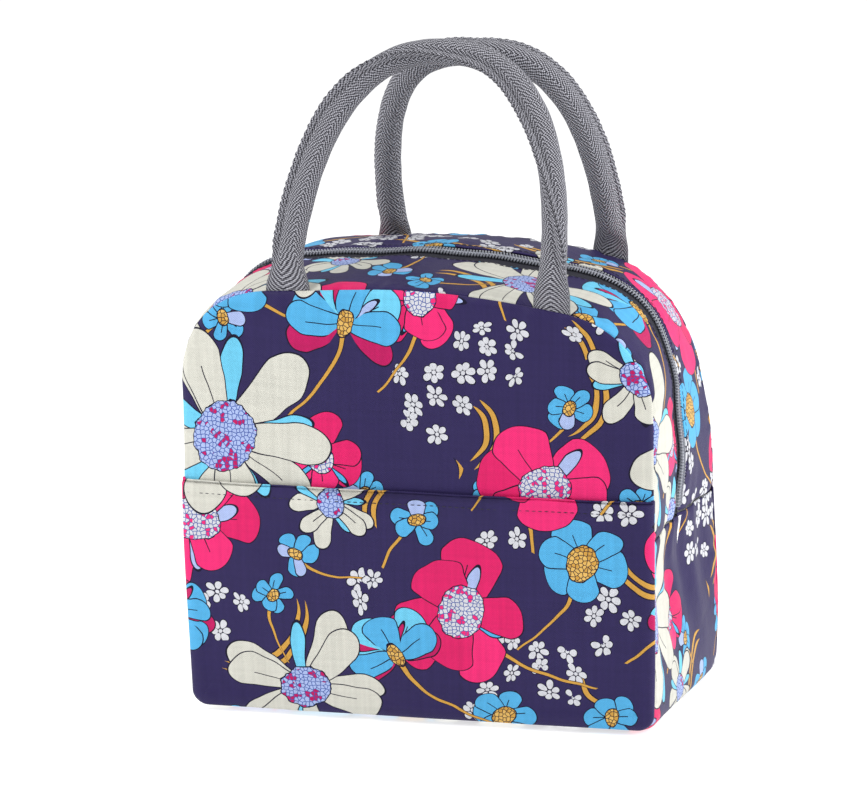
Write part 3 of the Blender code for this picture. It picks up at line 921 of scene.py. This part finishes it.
def side_out(place, normal, y, travel):
    """How far the band round the bag stands out from its outline, between the panels."""
    x, z = place[..., 0], place[..., 1]
    middle = 1 - (y / HALF_DEEP) ** 2
    flank = np.abs(normal[..., 0]) ** 3
    waist = hill(z, 66 * MM, 34 * MM)
    out = (0.9 - 4.6 * waist) * MM * flank * smooth(z, 0.0, 14 * MM)
    out += 6.0 * MM * (1 - flank) * smooth(z, 0.5 * HEIGHT, 0.9 * HEIGHT)
    wander = ripples(travel, y, 11, (0.034, 0.052, 0.08)) * 0.9 * MM
    crease = np.sin(2 * math.pi * (y / (31 * MM) + z / (160 * MM)))
    wander += crease * flank * waist * 1.1 * MM
    pinch = hill(z, MOUTH_Z, 17 * MM) * hill(y, 0.0, 30 * MM)
    wander += np.sin(2 * math.pi * y / (12.5 * MM) + 0.8) * flank * pinch * 0.8 * MM
    out = (out + wander * smooth(z, 2 * MM, 30 * MM)) * middle
    return out - slider_run(x, y, z) * np.maximum(out, 0)


def band_points(rail, travel, y, inset):
    """Points on the band at the given distances, y and inset, before it settles."""
    place, normal = rail.at(travel)
    spot = place + normal * (side_out(place, normal, y, travel) - inset)[..., None]
    return np.stack([spot[..., 0], y, np.maximum(spot[..., 1], 0.0)], -1)


def band_sheet(name, rail, travels, y, inset, across=None, flip=False):
    """A sheet that follows the rail: a row for each distance and a column for each y."""
    y = np.broadcast_to(y, (len(travels), y.shape[-1]))
    where = np.broadcast_to(travels[:, None], y.shape)
    uv = np.stack([y if across is None else np.broadcast_to(across, y.shape), where], -1)
    return sheet_of(name, band_points(rail, where, y, inset), uv, flip=flip)


def end_rows(length, count):
    """Distances along a band, closer together towards its two ends."""
    near = np.array([0.0, 0.25, 0.6, 1.1, 1.8, 2.7, 3.8]) * MM
    inner = np.linspace(5.2 * MM, length - 5.2 * MM, count)
    return np.concatenate([near, inner, length - near[::-1]])


def rolled_ends(travels, length):
    """How far a band's two ends turn in at the mouth's cross seam."""
    gone = np.minimum(travels, length - travels)[:, None]
    return 1.1 * MM * (1 - np.sqrt(np.clip(gone / (2.2 * MM), 0, 1)))


def gathers(travels, y, side, seed):
    """Small puckers along the seam with a panel."""
    pull = waves(travels, seed + side, (0.008, 0.0115, 0.017, 0.027))[:, None]
    return pull * hill(HALF_DEEP - side * y, 6.5 * MM, 4.0 * MM) * 0.8 * MM


def make_gusset():
    """The band that runs down one side, under the base and up the other."""
    inner = np.linspace(-(HALF_DEEP - 11 * MM), HALF_DEEP - 11 * MM, 44)
    seam = HALF_DEEP - GUSSET_RIM[:, 0]
    y = np.concatenate([-seam, inner, seam[::-1]])
    inset = np.concatenate([GUSSET_RIM[:, 1], 0 * inner, GUSSET_RIM[::-1, 1]])
    travels = end_rows(TROUGH.length, 250)
    inset = inset + rolled_ends(travels, TROUGH.length)
    inset -= gathers(travels, y, -1, 40) + gathers(travels, y, 1, 40)
    return band_sheet("base_gusset_cloth", TROUGH, travels, y, inset)


def window_edge(travels):
    """Half width of the zip's window, which closes towards its two ends."""
    gone = np.minimum(travels, ARCH.length - travels)
    return ZIP_WINDOW * (0.45 + 0.65 * smooth(gone, 0.0, 44 * MM))


def make_strip(part, side):
    """Cloth between a panel's seam and the zip, turned under beside the zip."""
    travels = end_rows(ARCH.length, 280)
    edge = window_edge(travels)[:, None]
    seam = HALF_DEEP - GUSSET_RIM[:, 0]
    fold = edge + FOLD_RIM[:, 0]
    inner = fold[:, :1] + (seam[-1] - fold[:, :1]) * (1 - np.arange(1, 16) / 16)
    y = side * np.concatenate([seam + 0 * edge, inner, fold], 1)
    inset = np.concatenate([GUSSET_RIM[:, 1], np.zeros(15), FOLD_RIM[:, 1]])
    inset = inset + rolled_ends(travels, ARCH.length) - gathers(travels, y, side, 60)
    ridge = waves(travels, 70 + side, (0.010, 0.015, 0.024))[:, None] * 0.5 * MM
    inset -= ridge * hill(np.abs(y), edge + 4.5 * MM, 3.0 * MM)
    across = travel_along(y[len(travels) // 2][:, None])
    return band_sheet(f"{part}_zip_strip_cloth", ARCH, travels, y, inset, across, flip=side > 0)


def plain_band(name, rail, low_y, high_y, inset, cols=14, trim=1.5 * MM):
    """A hidden layer of the band."""
    travels = np.linspace(trim, rail.length - trim, 220)
    return band_sheet(name, rail, travels, np.linspace(low_y, high_y, cols), inset)


def make_tape(part, side):
    """Woven tape of the zip, from under the strip to the middle."""
    travels = np.linspace(0.6 * MM, ARCH.length - 0.6 * MM, 260)
    return band_sheet(f"{part}_zip_tape_cloth", ARCH, travels, side * TAPE_LINE[:, 0],
                      TAPE_LINE[:, 1], flip=side > 0)


def make_coil(part, side):
    """One side of the zip: a flattened nylon spiral whose turns mesh with the other side's."""
    turns = int((ARCH.length - 8 * MM) / COIL_PITCH)
    angle = np.linspace(0, turns * 2 * math.pi, turns * 14 + 1)
    travel = 4 * MM + COIL_PITCH * angle / (2 * math.pi) + (0.5 * COIL_PITCH if side > 0 else 0.0)
    travel = np.minimum(travel, ARCH.length - 3.2 * MM)
    y = side * (1.35 * MM - 2.0 * MM * np.cos(angle))
    path = relax(band_points(ARCH, travel, y, -0.15 * MM - 0.70 * MM * np.sin(angle)))
    uv = np.stack([np.repeat(y, 6), np.repeat(travel, 6)], -1)
    return make_mesh(f"{part}_zip_coil_turns", tube(path, 0.36 * MM, 6),
                     grid_faces(len(path), 6, closed=True), uv)


def make_stitches(name, path, normals, length, gap, radius, sink=0.35):
    """A row of thread stitches lying on a surface along a path."""
    travel = travel_along(path)
    rows, sides = 6, 6
    arch_up = np.sin(np.linspace(0, math.pi, rows)) ** 0.5
    thick = radius * (0.45 + 0.55 * arch_up)[:, None, None]
    angle = np.arange(sides)[None, :, None] * 2 * math.pi / sides
    wall = grid_faces(rows, sides, closed=True)
    caps = [tuple(range(sides))[::-1], tuple(range((rows - 1) * sides, rows * sides))]
    verts, faces, uvs = [], [], []
    for i in range(int(travel[-1] / (length + gap))):
        begin = i * (length + gap) + gap / 2
        along = np.linspace(begin, begin + length, rows)
        centre = sample(along, travel, path)
        up = unit(sample(along, travel, normals))
        across = np.cross(tangents(centre), up)[:, None]
        centre = centre + up * ((arch_up - sink) * radius)[:, None]
        spoke = across * np.cos(angle) + up[:, None] * np.sin(angle)
        verts.append((centre[:, None] + spoke * thick).reshape(-1, 3))
        uvs.append(np.stack(np.meshgrid(along, np.arange(sides) * radius, indexing="ij"), -1))
        faces += [tuple(i * rows * sides + k for k in face) for face in wall + caps]
    return make_mesh(name, np.concatenate(verts), faces, np.array(uvs).reshape(-1, 2))


def band_row(y_of, inset, end):
    """Path and normals of a row of stitches along the zip's arch, where it has settled."""
    travel = np.linspace(end, ARCH.length - end, 600)
    y = y_of(travel)
    under = relax(band_points(ARCH, travel, y, inset))
    return under, relax(band_points(ARCH, travel, y, inset - 1 * MM)) - under


# ---------------------------------------------------------------- pocket
# The hem behind the pocket's edge: (distance inwards, height over the edge), mm
HEM = np.array([(0.12, 0.35), (0.45, 0.62), (0.85, 0.66), (1.15, 0.45), (1.25, 0.0),
                (1.2, -3.0), (1.05, -7.0), (0.95, -10.5)]) * MM
HEM_STITCH = 5.4 * MM


def pocket_place(x, z, depth=0.0):
    """Where the pocket's face lies over a point of the front, before it settles."""
    top = smooth(z, POCKET_Z - 24 * MM, POCKET_Z - 1 * MM)
    across = np.clip(1 - np.abs(2 * x / WIDTH) ** 4, 0, 1)
    gape = waves(x, 5, (0.06, 0.1, 0.17)) * 0.5 + 0.5
    lift = (1.0 + 0.9 * top + 1.0 * top * across * gape) * MM
    return -(HALF_DEEP - depth + panel_swell(x, z, 3) + lift)


def lifted(profile, lift):
    """A rim profile moved outwards, away from the bag."""
    return profile + tangents(profile)[:, ::-1] * (-1, 1) * lift


def make_pocket():
    """The pocket on the front, hemmed along its top edge."""
    line, travel = resample(trough_points(POCKET_Z), 300)
    normal = normals_of(line)
    normal[0], normal[-1] = (-1, 0), (1, 0)
    top_x = (travel / travel[-1] - 0.5) * 0.5 * WIDTH
    top = np.stack([top_x, np.full(len(line), POCKET_Z)], 1)
    rim = np.concatenate([RIM[:1], lifted(RIM, 0.2 * MM)[1:]])
    pucker = waves(travel, 21, PUCKERS)
    grid = []
    for place, depth in rings_to(top, line, normal, rim, 30, 0):
        x, z = place.T
        y = pocket_place(x, z, depth) - pucker * rim_share(place, line) * 0.4 * MM
        y += hill(POCKET_Z - z, HEM_STITCH, 0.9 * MM) * 0.28 * MM
        grid.append(np.stack([x, y, z], 1))
    rows, cols = len(grid), len(line)
    verts = list(np.concatenate(grid))
    faces = grid_faces(rows, cols)
    uv = [(v[0], v[2]) for v in verts]
    edge = [k * cols for k in range(rows - 1, -1, -1)] + list(range(1, cols))
    edge += [k * cols + cols - 1 for k in range(1, rows)]
    previous = edge
    for inward, up in HEM:
        row = list(range(len(verts), len(verts) + len(edge)))
        uv += [(verts[k][0], verts[k][2] + abs(up) + inward) for k in edge]
        verts += [verts[k] + np.array([0.0, inward, up]) for k in edge]
        faces += list(zip(previous, previous[1:], row[1:], row))
        previous = row
    return make_mesh("front_pocket_cloth", relax(np.array(verts)), faces, uv)


def pocket_row():
    """Path and normals of the topstitching below the pocket's top edge."""
    x = np.linspace(-WIDTH / 2 + 2.5 * MM, WIDTH / 2 - 2.5 * MM, 500)
    z = POCKET_Z - HEM_STITCH + waves(x, 9, (0.05, 0.11)) * 0.15 * MM
    path = relax(np.stack([x, pocket_place(x, z) - 0.06 * MM, z], 1))
    return path, np.tile((0.0, -1.0, 0.0), (len(x), 1))


# ---------------------------------------------------------------- handles
HANDLE_RISE = 118 * MM
FOOT_WIDE = 8.6 * MM
FOOT_THICK = 1.25 * MM
TUCK = 9 * MM
CORD_RADIUS = 3.9 * MM
CORD_SIDES = 12

# power is how square the arch is, lean its tilt in degrees; twist says where the fin points round
# the cord: (share of the length, radians). wider_left is how much wider the left foot is.
HANDLES = {
    "front": {"side": -1, "centre_x": -2.4 * MM, "half_span": 62.2 * MM, "power": 2.4, "lean": 27.0,
              "thick": 6.0 * MM, "fin_tall": 3.2 * MM, "wider_left": 1.8 * MM,
              "twist": ((0.0, 0.5), (0.15, 0.25), (0.30, 0.5), (0.42, 1.6), (0.52, 2.3), (0.66, 2.6),
                        (0.75, 2.2), (0.84, 1.5), (0.93, 0.7), (1.0, 0.5))},
    "rear": {"side": 1, "centre_x": 8.3 * MM, "half_span": 53.0 * MM, "power": 2.7, "lean": 31.0,
             "thick": 6.2 * MM, "fin_tall": 2.6 * MM, "wider_left": 0.0,
             "twist": ((0.0, 0.3), (0.2, 0.6), (0.5, 1.4), (0.8, 0.6), (1.0, 0.2))},
}


def handle_path(half_span, power, count):
    """Centre line of a handle in its own plane, with its two ends tucked below the seam."""
    turn = np.linspace(0, math.pi, 4000)
    share = 2 / power
    x = -half_span * np.sign(np.cos(turn)) * np.abs(np.cos(turn)) ** share
    z = HANDLE_RISE * np.sin(turn).clip(0) ** share
    loop = np.stack([x, z], 1)
    tuck = np.array([[0.0, -TUCK]])
    return resample(np.concatenate([loop[:1] + tuck, loop, loop[-1:] + tuck]), count)


class Handle:
    """The line of a handle, its directions and the heading of its fin."""

    def __init__(self, hinge, shape):
        self.shape = shape
        side, angle = shape["side"], math.radians(shape["lean"])
        line, self.travel = handle_path(shape["half_span"], shape["power"], 420)
        along = tangents(line)
        up = np.array([0.0, -side * math.sin(angle), math.cos(angle)])
        wide = np.array([1.0, 0.0, 0.0])
        self.thin = np.array([0.0, side * math.cos(angle), math.sin(angle)])
        self.centre = ((shape["centre_x"], hinge[1], hinge[2]) + line[:, :1] * wide
                       + line[:, 1:] * up)
        # near its feet the handle stands upright
        below = np.log1p(np.exp(np.clip((8.5 * MM - line[:, 1]) / (2 * MM), -30, 30))) * 2 * MM
        self.centre[:, 1] -= side * below * math.sin(angle)
        self.outward = -along[:, 1:] * wide + along[:, :1] * up
        self.fin = np.interp(self.travel / self.travel[-1], *np.array(shape["twist"]).T)

    def strap(self, name):
        """Webbing wrapped round the cord, its edges sewn together in a fin that winds round it."""
        travel, total = self.travel, self.travel[-1]
        thick, fin_tall = self.shape["thick"], self.shape["fin_tall"]
        gone = np.minimum(travel, total - travel) - TUCK
        rounded = smooth(gone, 0.5 * MM, 22 * MM)[:, None]
        flare = smooth(gone, -1 * MM, 26 * MM)[:, None]
        foot = np.where(travel < total / 2, FOOT_WIDE + self.shape["wider_left"], FOOT_WIDE)[:, None]
        fan = np.concatenate([np.linspace(-math.pi, -0.42, 17)[:-1], np.linspace(-0.42, 0.42, 19),
                              np.linspace(0.42, math.pi, 17)[1:-1]])
        scallop = 1 + 0.09 * np.sin(2 * math.pi * travel / (3.4 * MM))
        ridge = hill(fan, 0.0, 0.20, 5) * scallop[:, None] - hill(fan, 0.0, 0.045) * 0.30
        lump = waves(travel, int(1000 * self.shape["half_span"]), (0.013, 0.021, 0.034, 0.055))
        reach = thick * (1 + 0.03 * lump[:, None]) + ridge * fin_tall * rounded
        theta = self.fin[:, None] + fan
        c, s = np.cos(theta), np.sin(theta)
        flat_u = (foot + (thick * 1.12 - foot) * flare) * np.sign(c) * np.abs(c) ** 0.75
        flat_v = FOOT_THICK * np.sign(s) * np.abs(s) ** 0.6
        u = flat_u + (reach * c - flat_u) * rounded
        v = flat_v + (reach * s - flat_v) * rounded ** 1.15
        verts = self.centre[:, None] + u[..., None] * self.outward[:, None] + v[..., None] * self.thin
        verts = np.concatenate([verts, verts[:, :1]], 1)
        steps = np.hypot(np.diff(reach * np.cos(fan)), np.diff(reach * np.sin(fan)))
        around = np.concatenate([0 * steps[:, :1], np.cumsum(steps, 1)], 1)
        around -= around[:, -1:] / 2
        around = np.concatenate([around, 2 * around[:, -1:] - around[:, -2:-1]], 1)
        uv = np.stack([np.broadcast_to(travel[:, None], around.shape), around], -1)
        faces = grid_faces(*verts.shape[:2], flip=self.shape["side"] > 0)
        return make_mesh(name, verts.reshape(-1, 3), faces, uv.reshape(-1, 2))

    def stitching(self, name, flank):
        """Thread that closes the fin, on one flank of it."""
        keep = slice(len(self.fin) // 10, int(len(self.fin) * 0.9))
        c, s = np.cos(self.fin[keep, None]), np.sin(self.fin[keep, None])
        radial = self.outward[keep] * c + self.thin * s
        around = self.thin * c - self.outward[keep] * s
        reach = self.shape["thick"] + self.shape["fin_tall"] * 0.35
        path = self.centre[keep] + radial * reach + around * flank * 1.35 * MM
        return make_stitches(name, path, around * flank, 3.2 * MM, 0.8 * MM, 0.3 * MM, sink=0.2)

    def cord(self, name):
        """The cord inside the webbing, short of the feet."""
        line, _ = resample(self.centre[46:-46], 220)
        verts = tube(line, CORD_RADIUS, CORD_SIDES)
        faces = grid_faces(len(line), CORD_SIDES, closed=True)
        last = len(verts) - CORD_SIDES
        faces += [tuple(range(CORD_SIDES))[::-1], tuple(range(last, len(verts)))]
        uv = [(1 * MM * (k // CORD_SIDES), 2 * MM * (k % CORD_SIDES)) for k in range(len(verts))]
        return make_mesh(name, verts, faces, uv)


# ---------------------------------------------------------------- build the bag
def dress(obj, made, slot, *replaced, thickness=None):
    """Give a piece its material and thickness, and hide the CAD nodes it stands for. The slot is not
    used.
    """
    if thickness:
        thicken(obj, thickness)
    obj.data.materials.clear()
    obj.data.materials.append(made)
    if replaced:
        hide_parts(*replaced)
    return obj


def bend_with(part, *pieces):
    """Bake the placing of each piece into its mesh."""
    for obj in pieces:
        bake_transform(obj)


def add_panel(part, side, seed):
    """A main panel with its foam, lining and inside binding."""
    panel = dress(fan_panel(f"{part}_panel_cloth", RIM, side, seed), CLOTHS[part], "printed_cloth",
                  f"{part}_panel_lower", f"{part}_panel_upper", thickness=CLOTH)

    pad = dress(fan_panel(f"{part}_foam_sheet", FOAM_RIM, side, seed), FOAM_WHITE, "insulation_foam",
                f"{part}_foam_lower", f"{part}_foam_upper", thickness=FOAM)

    film = dress(fan_panel(f"{part}_lining_film", LINING_RIM, side, seed), FOIL, "foil_lining",
                 f"{part}_lining_lower", f"{part}_lining_upper", thickness=FILM)

    tape = dress(make_binding(f"{part}_binding_tape", side, seed), BIND_TAPE, "binding",
                 f"{part}_binding_lower", f"{part}_binding_upper")
    bend_with("front" if side < 0 else "rear", panel, pad, film, tape)
    return panel


front_panel = add_panel("front", -1, 3)
back_panel = add_panel("back", 1, 8)

pocket = dress(make_pocket(), CLOTHS["pocket"], "printed_cloth", "front_pocket_lower",
               "front_pocket_upper", thickness=0.5 * MM)
hem_thread = dress(make_stitches("front_pocket_topstitch", *pocket_row(), 2.5 * MM, 0.5 * MM, 0.24 * MM),
                   STITCH_NAVY, "printed_cloth")
bend_with("front", pocket, hem_thread)

gusset = dress(make_gusset(), CLOTHS["band"], "printed_cloth", "base_gusset", thickness=CLOTH)
gusset_foam = plain_band("base_foam_sheet", TROUGH, -HALF_DEEP + 4.5 * MM, HALF_DEEP - 4.5 * MM,
                         0.9 * MM)
dress(gusset_foam, FOAM_WHITE, "insulation_foam", "base_foam", thickness=FOAM)
gusset_film = plain_band("base_lining_film", TROUGH, -HALF_DEEP + 5 * MM, HALF_DEEP - 5 * MM,
                         FILM_INSET, cols=24, trim=0.1 * MM)
dress(gusset_film, FOIL, "foil_lining", "base_lining", thickness=FILM)
for obj in (gusset, gusset_foam, gusset_film):
    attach(obj, "tub")


def add_strip(part, side, cloth):
    """A mouth strip with its foam, lining, tape, coil and stitching."""
    strip = dress(make_strip(part, side), cloth, "printed_cloth", f"{part}_zip_strip",
                  thickness=0.5 * MM)
    inner, outer = side * (ZIP_WINDOW + 5 * MM), side * (HALF_DEEP - 4.5 * MM)
    low, high = min(inner, outer), max(inner, outer)
    pad = plain_band(f"{part}_strip_foam_sheet", ARCH, low, high, 2.0 * MM)
    dress(pad, FOAM_WHITE, "insulation_foam", f"{part}_strip_foam", thickness=1.9 * MM)

    film = plain_band(f"{part}_strip_lining_film", ARCH, low - (4 * MM if side > 0 else 0),
                      high + (4 * MM if side < 0 else 0), FILM_INSET, trim=0.1 * MM)
    dress(film, FOIL, "foil_lining", f"{part}_strip_lining", thickness=FILM)
    tape = dress(make_tape(part, side), TAPE_BLACK, "zip_tape", f"{part}_zip_tape", thickness=0.4 * MM)
    coil = dress(make_coil(part, side), COIL_NYLON, "zip_coil", f"{part}_zip_coil")

    path, up = band_row(lambda travel: side * (window_edge(travel) + 2.2 * MM), 0.0, 4 * MM)
    edge_thread = make_stitches(f"{part}_strip_topstitch", path, up, 2.5 * MM, 0.5 * MM, 0.22 * MM)
    dress(edge_thread, STITCH_NAVY, "printed_cloth")
    path, up = band_row(lambda travel: np.full_like(travel, side * 2.25 * MM), -0.95 * MM, 5 * MM)
    coil_thread = make_stitches(f"{part}_coil_stitching", path, up, 1.0 * MM, 0.45 * MM, 0.24 * MM)
    dress(coil_thread, STITCH_GREY, "zip_coil")

    bend_with(part, strip, pad, film, tape, coil, edge_thread, coil_thread)


add_strip("front", -1, CLOTHS["strip"])
add_strip("rear", 1, CLOTHS["strip_rear"])

for part, shape in HANDLES.items():
    hinge = JOINTS[f"{part}_handle_drop"]["pos_m"]
    handle = Handle(hinge, shape)
    strap = dress(handle.strap(f"{part}_handle_strap"), WEBBING, "handle_webbing",
                  f"{part}_handle_webbing")
    sewn = dress(handle.stitching(f"{part}_handle_stitching", 1), STITCH_WEBBING, "handle_webbing")
    sewn_back = dress(handle.stitching(f"{part}_handle_stitching_back", -1), STITCH_WEBBING,
                      "handle_webbing")
    cord = dress(handle.cord(f"{part}_handle_cord"), CORD, "handle_core", f"{part}_handle_core")
    for obj in (strap, sewn, sewn_back, cord):
        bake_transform(obj)

for node in ("zipper_slider", "zipper_pull"):
    cad = frame["nodes"][node]
    cad.data.materials.clear()
    cad.data.materials.append(METAL)

# ---------------------------------------------------------------- floor, light and camera
floor_mesh = bpy.data.meshes.new("floor")
floor_mesh.from_pydata([(-6, -6, 0), (6, -6, 0), (6, 6, 0), (-6, 6, 0)], [], [(0, 1, 2, 3)])
floor_mesh.materials.append(material("floor_white", white_floor))
floor = bpy.data.objects.new("floor", floor_mesh)
bpy.context.scene.collection.objects.link(floor)

world = bpy.data.worlds.new("studio")
bpy.context.scene.world = world
bpy.context.scene.view_settings.view_transform = "Standard"
world.use_nodes = True
backdrop = world.node_tree.nodes["Background"]
backdrop.inputs["Color"].default_value = (1.0, 1.0, 1.0, 1.0)
# The camera sees pure white, and the bag is lit by a dimmer sky
seen = world.node_tree.nodes.new("ShaderNodeLightPath")
level = world.node_tree.nodes.new("ShaderNodeMapRange")
level.inputs["To Min"].default_value = 0.58
level.inputs["To Max"].default_value = 1.0
world.node_tree.links.new(seen.outputs["Is Camera Ray"], level.inputs["Value"])
world.node_tree.links.new(level.outputs["Result"], backdrop.inputs["Strength"])


def put(obj, place, aim):
    """Place a light or camera and turn it to its aim."""
    obj.location = place
    obj.rotation_euler = (Vector(aim) - Vector(place)).to_track_quat("-Z", "Y").to_euler()
    bpy.context.scene.collection.objects.link(obj)


for name, place, aim, size, power in (
        ("key", (-0.85, -0.58, 0.62), (0, 0, 0.12), 0.7, 7.6),
        ("side", (1.30, 0.0, 0.70), (0, 0, 0.14), 0.7, 17.0),
        ("top", (-0.2, 0.2, 1.8), (0, 0, 0.1), 1.2, 11.0)):
    data = bpy.data.lights.new(name, "AREA")
    data.shape = "SQUARE"
    data.size = size
    data.energy = power
    put(bpy.data.objects.new(name, data), place, aim)

AZIMUTH = math.radians(13.5)
ELEVATION = math.radians(11.0)
DISTANCE = 2.45
TARGET = Vector((0.0, 0.0, 0.150))
camera_data = bpy.data.cameras.new("camera")
camera_data.sensor_width = 36
camera_data.lens = 215.8
camera_data.shift_x = -0.0251
camera_data.shift_y = -0.0230
camera = bpy.data.objects.new("camera", camera_data)
put(camera, TARGET + DISTANCE * Vector((math.sin(AZIMUTH) * math.cos(ELEVATION),
                                        -math.cos(AZIMUTH) * math.cos(ELEVATION),
                                        math.sin(ELEVATION))), TARGET)
bpy.context.scene.camera = camera
